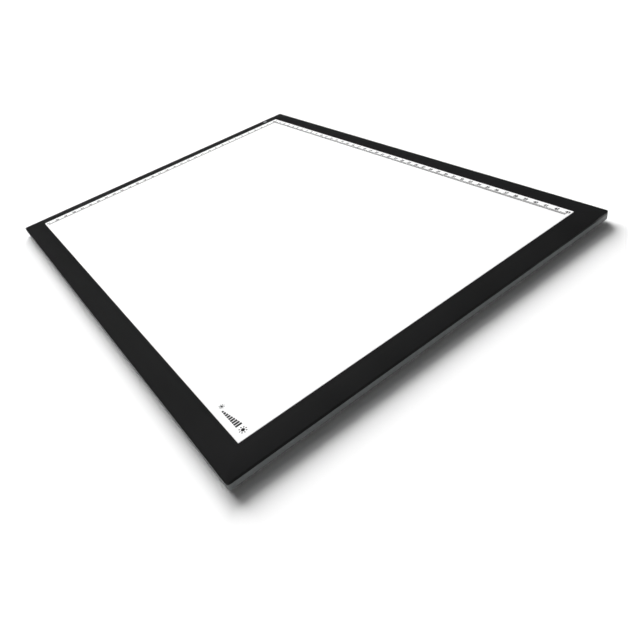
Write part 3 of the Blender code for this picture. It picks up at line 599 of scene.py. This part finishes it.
def build_cover():
    """Grey tray: rounded bottom edge, screw pads, board bosses and the recesses underneath."""
    rows = []
    for inset, rise in rounding(COVER_ROUNDING, COVER_ROUNDING_STEPS):
        rows.append((outline(inset), cover_low.z + rise))
    rows.append((outline(0), cover_high.z - COVER_RIM))
    rows.append((outline(COVER_RIM), cover_high.z))
    rows.append((outline(COVER_WALL), cover_high.z))
    rows.append((outline(COVER_WALL), cover_low.z + COVER_FLOOR))
    screws = places_of(nodes_named("cover_screw_"))
    board_screws = places_of(nodes_named("board_screw_"))
    inside = cover_low.z + COVER_FLOOR - DEEP_SINK
    board_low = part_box("control_board")[0].z
    feet = places_of(nodes_named("foot_"))
    foot_low, foot_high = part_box("foot_1")
    foot_radius = (foot_high.x - foot_low.x) / 2
    label_low, label_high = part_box("rating_label")
    label = rounded_rectangle(
        label_high.x - label_low.x + 2 * FIT,
        label_high.y - label_low.y + 2 * FIT,
        LABEL_CORNER + FIT,
        centre("rating_label").x,
        centre("rating_label").y,
    )
    below = cover_low.z - MM
    ceiling = cover_low.z + RECESS_DEPTH
    doorway = bmesh.new()
    inlet_y = centre("socket_pin").y
    add_box(
        doorway,
        (cover_low.x - MM, inlet_y - DOORWAY, cover_low.z + COVER_FLOOR + 2 * SINK),
        (cover_low.x + COVER_WALL + MM, inlet_y + DOORWAY, cover_high.z + MM),
    )
    steps = [
        ("UNION", cylinders(screws, inside, PAD_TOP, PAD_RADIUS)),
        ("UNION", cylinders(board_screws, inside, board_low - LAYER_GAP, BOARD_BOSS_RADIUS)),
        ("DIFFERENCE", loft([(label, below), (label, ceiling)])),
        ("DIFFERENCE", cylinders(feet, below, ceiling, foot_radius + FIT, 2 * ROUND_STEPS)),
        ("DIFFERENCE", cylinders(screws, below, cover_low.z + COUNTERBORE_DEPTH, COUNTERBORE_RADIUS)),
        ("DIFFERENCE", cylinders(screws, below, PAD_TOP + MM, PILOT_RADIUS)),
        ("DIFFERENCE", cylinders(board_screws, BOARD_PILOT_LOW, PAD_TOP + MM, PILOT_RADIUS)),
        ("DIFFERENCE", doorway),
    ]
    mesh = combined(mesh_from(loft(rows), "cover_moulding"), steps)
    show("cover_moulding", mesh, "cover_grey", stands_for=["back_cover"])


def cross_outline(length, width):
    arms = []
    for x, y in ((1, 0), (0, 1), (-1, 0), (0, -1)):
        arms.append((length / 2 * x + width / 2 * y, length / 2 * y - width / 2 * x))
        arms.append((length / 2 * x - width / 2 * y, length / 2 * y + width / 2 * x))
        arms.append((width / 2 * (x - y), width / 2 * (y + x)))
    return arms


def build_screws():
    """Threaded cover screws, head down, each with a tapered cross recess."""
    names = nodes_named("cover_screw_")
    low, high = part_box(names[0])
    rows = []
    for inset, rise in rounding(HEAD_EDGE):
        rows.append((circle(HEAD_RADIUS - inset, THREAD_STEPS), rise))
    rows.append((circle(HEAD_RADIUS, THREAD_STEPS), HEAD_HEIGHT))
    length = high.z - low.z
    count = round((length - HEAD_HEIGHT) / THREAD_PITCH * THREAD_ROWS_PER_TURN)
    for row in range(count + 1):
        z = HEAD_HEIGHT + (length - HEAD_HEIGHT) * row / count
        taper = min(1.0, (length - z) / (2 * THREAD_PITCH) + THREAD_TIP)
        points = []
        for step in range(THREAD_STEPS):
            turn = step / THREAD_STEPS
            phase = (z / THREAD_PITCH - turn) % 1.0
            crest = max(0.0, 1 - THREAD_STEEPNESS * abs(phase - 0.5))
            radius = (THREAD_ROOT + (THREAD_RADIUS - THREAD_ROOT) * crest) * taper
            points.append((radius * math.cos(2 * math.pi * turn), radius * math.sin(2 * math.pi * turn)))
        rows.append((points, z))
    cross = [
        (cross_outline(*CROSS_MOUTH), -CROSS_START),
        (cross_outline(*CROSS_END), CROSS_DEPTH),
    ]
    mesh = combined(mesh_from(loft(rows), "threaded_screw"), [("DIFFERENCE", loft(cross))])
    for number, name in enumerate(names, start=1):
        at = centre(name)
        show(f"threaded_screw_{number}", mesh, "screw_black", (at.x, at.y, low.z), stands_for=[name])


def build_feet():
    """Rubber discs with a rounded edge, a dished face and two grip grooves, face down."""
    names = nodes_named("foot_")
    low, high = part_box(names[0])
    radius = (high.x - low.x) / 2
    height = high.z - low.z
    steps = 2 * ROUND_STEPS
    rows = []
    for share, depth in FOOT_FACE:
        rows.append((circle(radius * share, steps), depth))
    for inset, rise in rounding(FOOT_EDGE):
        rows.append((circle(radius - inset, steps), rise))
    rows.append((circle(radius, steps), height))
    mesh = mesh_from(loft(rows), "rubber_foot")
    for number, name in enumerate(names, start=1):
        at = centre(name)
        show(f"rubber_foot_{number}", mesh, "foot_rubber", (at.x, at.y, low.z), stands_for=[name])


def build_inlet():
    """Power inlet with rounded edges, a bore with a lead-in, solder tabs and a round-nosed pin."""
    low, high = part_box("power_socket")
    pin_low, pin_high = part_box("socket_pin")
    middle = centre("socket_pin")
    length = high.x - low.x
    inwards = Matrix.Translation((low.x, middle.y, middle.z)) @ Matrix.Rotation(math.radians(90), 4, "Y")
    rows = []
    for inset, rise in rounding(INLET_EDGE):
        size = (INLET_HEIGHT - 2 * inset, INLET_WIDTH - 2 * inset)
        rows.append((rounded_rectangle(*size, INLET_EDGE), rise))
    rows.append((rounded_rectangle(INLET_HEIGHT, INLET_WIDTH, INLET_EDGE), length))
    body = loft(rows)
    body.transform(inwards)
    bore = loft(
        [
            (circle(BORE_RADIUS + BORE_LEAD_IN + MM), -MM),
            (circle(BORE_RADIUS), BORE_LEAD_IN),
            (circle(BORE_RADIUS), BORE_DEPTH),
            (circle(PIN_RADIUS + FIT), BORE_DEPTH),
            (circle(PIN_RADIUS + FIT), length + MM),
        ]
    )
    bore.transform(inwards)
    tabs = bmesh.new()
    tab_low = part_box("control_board")[1].z + LAYER_GAP
    for offset in (-TAB_PITCH, 0.0, TAB_PITCH):
        x = centre("control_board").x + offset
        add_box(
            tabs,
            (x - TAB_WIDTH / 2, low.y, tab_low),
            (x + TAB_WIDTH / 2, middle.y - INLET_WIDTH / 2 + SINK, tab_low + TAB_THICKNESS),
        )
    mesh = combined(mesh_from(body, "inlet_body"), [("UNION", tabs), ("DIFFERENCE", bore)])
    show("inlet_body", mesh, "socket_black", stands_for=["power_socket"])
    nose = []
    for inset, rise in rounding(PIN_RADIUS):
        nose.append((circle(max(PIN_RADIUS - inset, PIN_TIP)), pin_low.x - low.x + rise))
    nose.append((circle(PIN_RADIUS), pin_high.x - low.x))
    pin = loft(nose)
    pin.transform(inwards)
    show("inlet_pin", mesh_from(pin, "inlet_pin"), "pin_brass", stands_for=["socket_pin"])


# -------------------------------------------------------------------- print


def numeral(text):
    """A number as a thin closed mesh, its middle at x = 0 and its foot near y = 0."""
    curve = bpy.data.curves.new("numeral", "FONT")
    curve.body = text
    curve.size = NUMERAL_SIZE
    curve.offset = NUMERAL_BOLD
    curve.resolution_u = NUMERAL_STEPS
    curve.align_x = "CENTER"
    words = bpy.data.objects.new("numeral", curve)
    bpy.context.scene.collection.objects.link(words)
    mesh = bpy.data.meshes.new_from_object(words.evaluated_get(bpy.context.evaluated_depsgraph_get()))
    bpy.data.objects.remove(words, do_unlink=True)
    solid = bmesh.new()
    solid.from_mesh(mesh)
    bmesh.ops.remove_doubles(solid, verts=solid.verts, dist=MERGE_DISTANCE)
    raised = bmesh.ops.extrude_face_region(solid, geom=solid.faces[:], use_keep_orig=True)["geom"]
    tops = [part for part in raised if isinstance(part, bmesh.types.BMVert)]
    bmesh.ops.translate(solid, verts=tops, vec=(0, 0, INK + INK_SINK))
    bmesh.ops.recalc_face_normals(solid, faces=solid.faces)
    solid.to_mesh(mesh)
    solid.free()
    return mesh


def build_ruler(name, count, origin, along, inward, upright):
    """Centimetre ruler: a baseline with ticks that point to the panel's edge, and numbers beyond
    them. upright is the direction in which its numbers stand."""
    level = panel_high.z
    half = TICK_WIDTH / 2
    comb = [(10 * count * MM + half, TICK_FOOT + BASELINE), (-half, TICK_FOOT + BASELINE)]
    for mark in range(10 * count + 1):
        reach = TICK_CM if mark % 10 == 0 else TICK_5MM if mark % 5 == 0 else TICK_MM
        start = mark * MM - half
        end = mark * MM + half
        if mark:
            comb.append((start, TICK_FOOT))
        comb.append((start, TICK_FOOT - reach))
        comb.append((end, TICK_FOOT - reach))
        if mark < 10 * count:
            comb.append((end, TICK_FOOT))
    points = [origin + along * distance + inward * depth for distance, depth in comb]
    flat = [(point.x, point.y) for point in points]
    show_print(f"{name}_ticks", loft([(flat, level - INK_SINK), (flat, level + INK)]), INK_BLACK)
    right = Vector((upright.y, -upright.x, 0))
    turn = Matrix((right, upright, Vector((0, 0, 1)))).transposed().to_4x4()
    numbers = bmesh.new()
    for centimetre in range(count + 1):
        mesh = numeral(str(centimetre))
        height = max(v.co.y for v in mesh.vertices)
        middle = origin + along * (10 * centimetre * MM) + inward * NUMERAL_MIDDLE
        middle -= upright * height / 2
        mesh.transform(Matrix.Translation((middle.x, middle.y, level - INK_SINK)) @ turn)
        numbers.from_mesh(mesh)
        bpy.data.meshes.remove(mesh)
    show_print(f"{name}_numbers", numbers, INK_BLACK)


def build_rulers():
    far_left = Vector((WINDOW_LOW.x, WINDOW_HIGH.y, 0))
    right = Vector((1, 0, 0))
    away = Vector((0, 1, 0))
    build_ruler("far_ruler", FAR_RULER_CM, far_left + right * RULER_START, right, -away, away)
    left_start = far_left - away * RULER_START + right * LEFT_RULER_SHIFT
    build_ruler("left_ruler", LEFT_RULER_CM, left_start, -away, right, -right)


def ring_sector(bm, x, y, inner, outer, start, end, low, high, steps):
    """A closed flat arc from start to end, in degrees."""
    rows = []
    for step in range(steps + 1):
        angle = math.radians(start + (end - start) * step / steps)
        corner = []
        for radius, z in ((inner, low), (outer, low), (outer, high), (inner, high)):
            corner.append(bm.verts.new((x + radius * math.cos(angle), y + radius * math.sin(angle), z)))
        rows.append(corner)
    for before, after in zip(rows, rows[1:]):
        for here in range(4):
            there = (here + 1) % 4
            bm.faces.new((before[here], before[there], after[there], after[here]))
    bm.faces.new(reversed(rows[0]))
    bm.faces.new(rows[-1])


def build_touch_mark():
    """Power symbol on the left margin, over the touch sensor."""
    at = centre("touch_spring")
    low = frame_high.z - INK_SINK
    high = frame_high.z + INK
    mark = bmesh.new()
    radii = (TOUCH_INNER, TOUCH_OUTER)
    ring_sector(mark, at.x, at.y, *radii, TOUCH_START, TOUCH_END, low, high, TOUCH_STEPS)
    add_box(
        mark,
        (at.x - STROKE_HALF_WIDTH, at.y + STROKE_LOW, low),
        (at.x + STROKE_HALF_WIDTH, at.y + STROKE_HIGH, high),
    )
    show_print("touch_mark", mark, INK_WHITE)


def add_sun_sign(bm, x, y, radius, low, high):
    """A disc with rays round it."""
    add_cylinder(bm, x, y, low, high, SUN_DISC * radius, ROUND_STEPS)
    for ray in range(SUN_RAYS):
        angle = math.radians(360 / SUN_RAYS * ray)
        outward = Vector((math.cos(angle), math.sin(angle)))
        across = Vector((-math.sin(angle), math.cos(angle))) * SUN_RAY_HALF_WIDTH * radius
        near = Vector((x, y)) + outward * SUN_RAY_START * radius
        far = Vector((x, y)) + outward * radius
        corners = [tuple(p) for p in (near - across, far - across, far + across, near + across)]
        loft([(corners, low), (corners, high)], bm=bm)


def build_brightness_mark():
    """Brightness scale by the near right corner: a small sun, rising bars and a large sun."""
    low = panel_high.z - INK_SINK
    high = panel_high.z + INK
    right = WINDOW_HIGH.x - GAUGE_INSET_X
    left = right - GAUGE_LENGTH
    middle = WINDOW_LOW.y + GAUGE_INSET_Y
    small = GAUGE_HEIGHT * GAUGE_SMALL_SUN
    large = GAUGE_HEIGHT * GAUGE_LARGE_SUN
    mark = bmesh.new()
    add_sun_sign(mark, left + small, middle, small, low, high)
    add_sun_sign(mark, right - large, middle, large, low, high)
    start = left + 2 * small + GAUGE_GAP
    end = right - 2 * large - GAUGE_GAP
    pitch = (end - start) / GAUGE_BARS
    half = GAUGE_BAR_HALF_WIDTH * pitch
    foot = middle - GAUGE_HEIGHT * GAUGE_FOOT
    for bar in range(GAUGE_BARS):
        x = start + pitch * (bar + 0.5)
        rise = GAUGE_HEIGHT * (GAUGE_FIRST_BAR + GAUGE_BAR_RISE * bar / (GAUGE_BARS - 1))
        add_box(mark, (x - half, foot, low), (x + half, foot + rise, high))
    show_print("brightness_mark", mark, INK_BLACK)


def build_label_print():
    """Border and blank field rules on the underside label."""
    low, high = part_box("rating_label")
    left, right = low.x + LABEL_BORDER, high.x - LABEL_BORDER
    near, far = low.y + LABEL_BORDER, high.y - LABEL_BORDER
    bars = [
        (left, near, right, near + LABEL_RULE),
        (left, far - LABEL_RULE, right, far),
        (left, near + LABEL_RULE, left + LABEL_RULE, far - LABEL_RULE),
        (right - LABEL_RULE, near + LABEL_RULE, right, far - LABEL_RULE),
    ]
    divider = left + LABEL_DIVIDER * (right - left)
    bars.append((divider, near + LABEL_RULE, divider + LABEL_RULE, far - LABEL_RULE))
    for share in LABEL_ROWS:
        y = near + share * (far - near)
        bars.append((divider + LABEL_RULE, y, right - LABEL_RULE, y + LABEL_RULE))
    lines = bmesh.new()
    for x1, y1, x2, y2 in bars:
        add_box(lines, (x1, y1, low.z - INK), (x2, y2, low.z + INK_SINK))
    show_print("label_print", lines, INK_BLACK)


# Every CAD node takes the finish of its slot
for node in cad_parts.values():
    slot = node.data.materials[0].name
    node.data.materials[0] = FINISHES[slot.split(".")[0]]

build_bezel()
build_cover()
build_screws()
build_feet()
build_inlet()
build_rulers()
build_touch_mark()
build_brightness_mark()
build_label_print()


# -------------------------------------------------------------------- stage

CAMERA_PLACE = Vector((0.44948, -0.21152, 0.26480))
CAMERA_TARGET = Vector((0.15358, -0.05425, 0.0092))
CAMERA_ROLL = math.radians(-14.185)
CAMERA_LENS = 33.06
CAMERA_SENSOR = 36.0
CAMERA_NEAR = 0.01
CAMERA_FAR = 50.0
FLOOR_REACH = 6.0
SKY_SEEN = 1.0
SKY_LIGHT = 0.06
# Name, direction towards the sun, elevation in degrees, strength, angular size in degrees
SUNS = (
    ("low_key", (-0.966, 0.259), 16, 10.5, 55),
    ("high_key", (-0.966, 0.259), 34, 1.45, 65),
    ("fill", (0.9, -0.43), 3, 1.5, 6),
)


def build_camera():
    ahead = (CAMERA_TARGET - CAMERA_PLACE).normalized()
    level_right = ahead.cross(Vector((0, 0, 1))).normalized()
    level_up = level_right.cross(ahead)
    right = math.cos(CAMERA_ROLL) * level_right + math.sin(CAMERA_ROLL) * level_up
    up = -math.sin(CAMERA_ROLL) * level_right + math.cos(CAMERA_ROLL) * level_up
    camera = bpy.data.objects.new("camera", bpy.data.cameras.new("camera"))
    camera.data.lens = CAMERA_LENS
    camera.data.sensor_width = CAMERA_SENSOR
    camera.data.clip_start = CAMERA_NEAR
    camera.data.clip_end = CAMERA_FAR
    turn = Matrix((right, up, -ahead)).transposed().to_4x4()
    camera.matrix_world = Matrix.Translation(CAMERA_PLACE) @ turn
    bpy.context.scene.collection.objects.link(camera)
    bpy.context.scene.camera = camera


def build_sun(name, towards_sun, elevation, strength, softness):
    """A soft sun that leaves no gloss on the pad."""
    flat = Vector((towards_sun[0], towards_sun[1], 0)).normalized()
    rise = math.radians(elevation)
    direction = flat * math.cos(rise) + Vector((0, 0, math.sin(rise)))
    light = bpy.data.lights.new(name, "SUN")
    light.energy = strength
    light.angle = math.radians(softness)
    sun = bpy.data.objects.new(name, light)
    sun.rotation_mode = "QUATERNION"
    sun.rotation_quaternion = direction.to_track_quat("Z", "Y")
    sun.visible_glossy = False
    bpy.context.scene.collection.objects.link(sun)


def build_stage():
    """Plain pale floor, two soft key lights from the left, a low fill from the right, and a sky
    that is white to the camera and faint as a light."""
    floor_bm = bmesh.new()
    bmesh.ops.create_grid(floor_bm, x_segments=8, y_segments=8, size=FLOOR_REACH)
    floor_mesh = bpy.data.meshes.new("floor")
    floor_bm.to_mesh(floor_mesh)
    floor_bm.free()
    floor = bpy.data.objects.new("floor", floor_mesh)
    bpy.context.scene.collection.objects.link(floor)
    floor.location = (0, 0, cad_low.z)
    paper = film("floor_paper", (0.9, 0.9, 0.9), 0.8, 300 * MM, variation=0.01, specular=0.1)
    floor_mesh.materials.append(paper)
    for sun in SUNS:
        build_sun(*sun)
    world = bpy.data.worlds.new("studio")
    bpy.context.scene.world = world
    world.use_nodes = True
    nodes = world.node_tree.nodes
    links = world.node_tree.links
    seen = nodes.new("ShaderNodeBackground")
    seen.inputs["Color"].default_value = (SKY_SEEN, SKY_SEEN, SKY_SEEN, 1.0)
    lighting = nodes["Background"]
    lighting.inputs["Color"].default_value = (1.0, 1.0, 1.0, 1.0)
    lighting.inputs["Strength"].default_value = SKY_LIGHT
    path = nodes.new("ShaderNodeLightPath")
    mix = nodes.new("ShaderNodeMixShader")
    links.new(path.outputs["Is Camera Ray"], mix.inputs[0])
    links.new(lighting.outputs[0], mix.inputs[1])
    links.new(seen.outputs[0], mix.inputs[2])
    links.new(mix.outputs[0], nodes["World Output"].inputs[0])
    bpy.context.scene.view_settings.view_transform = "Standard"


build_camera()
build_stage()
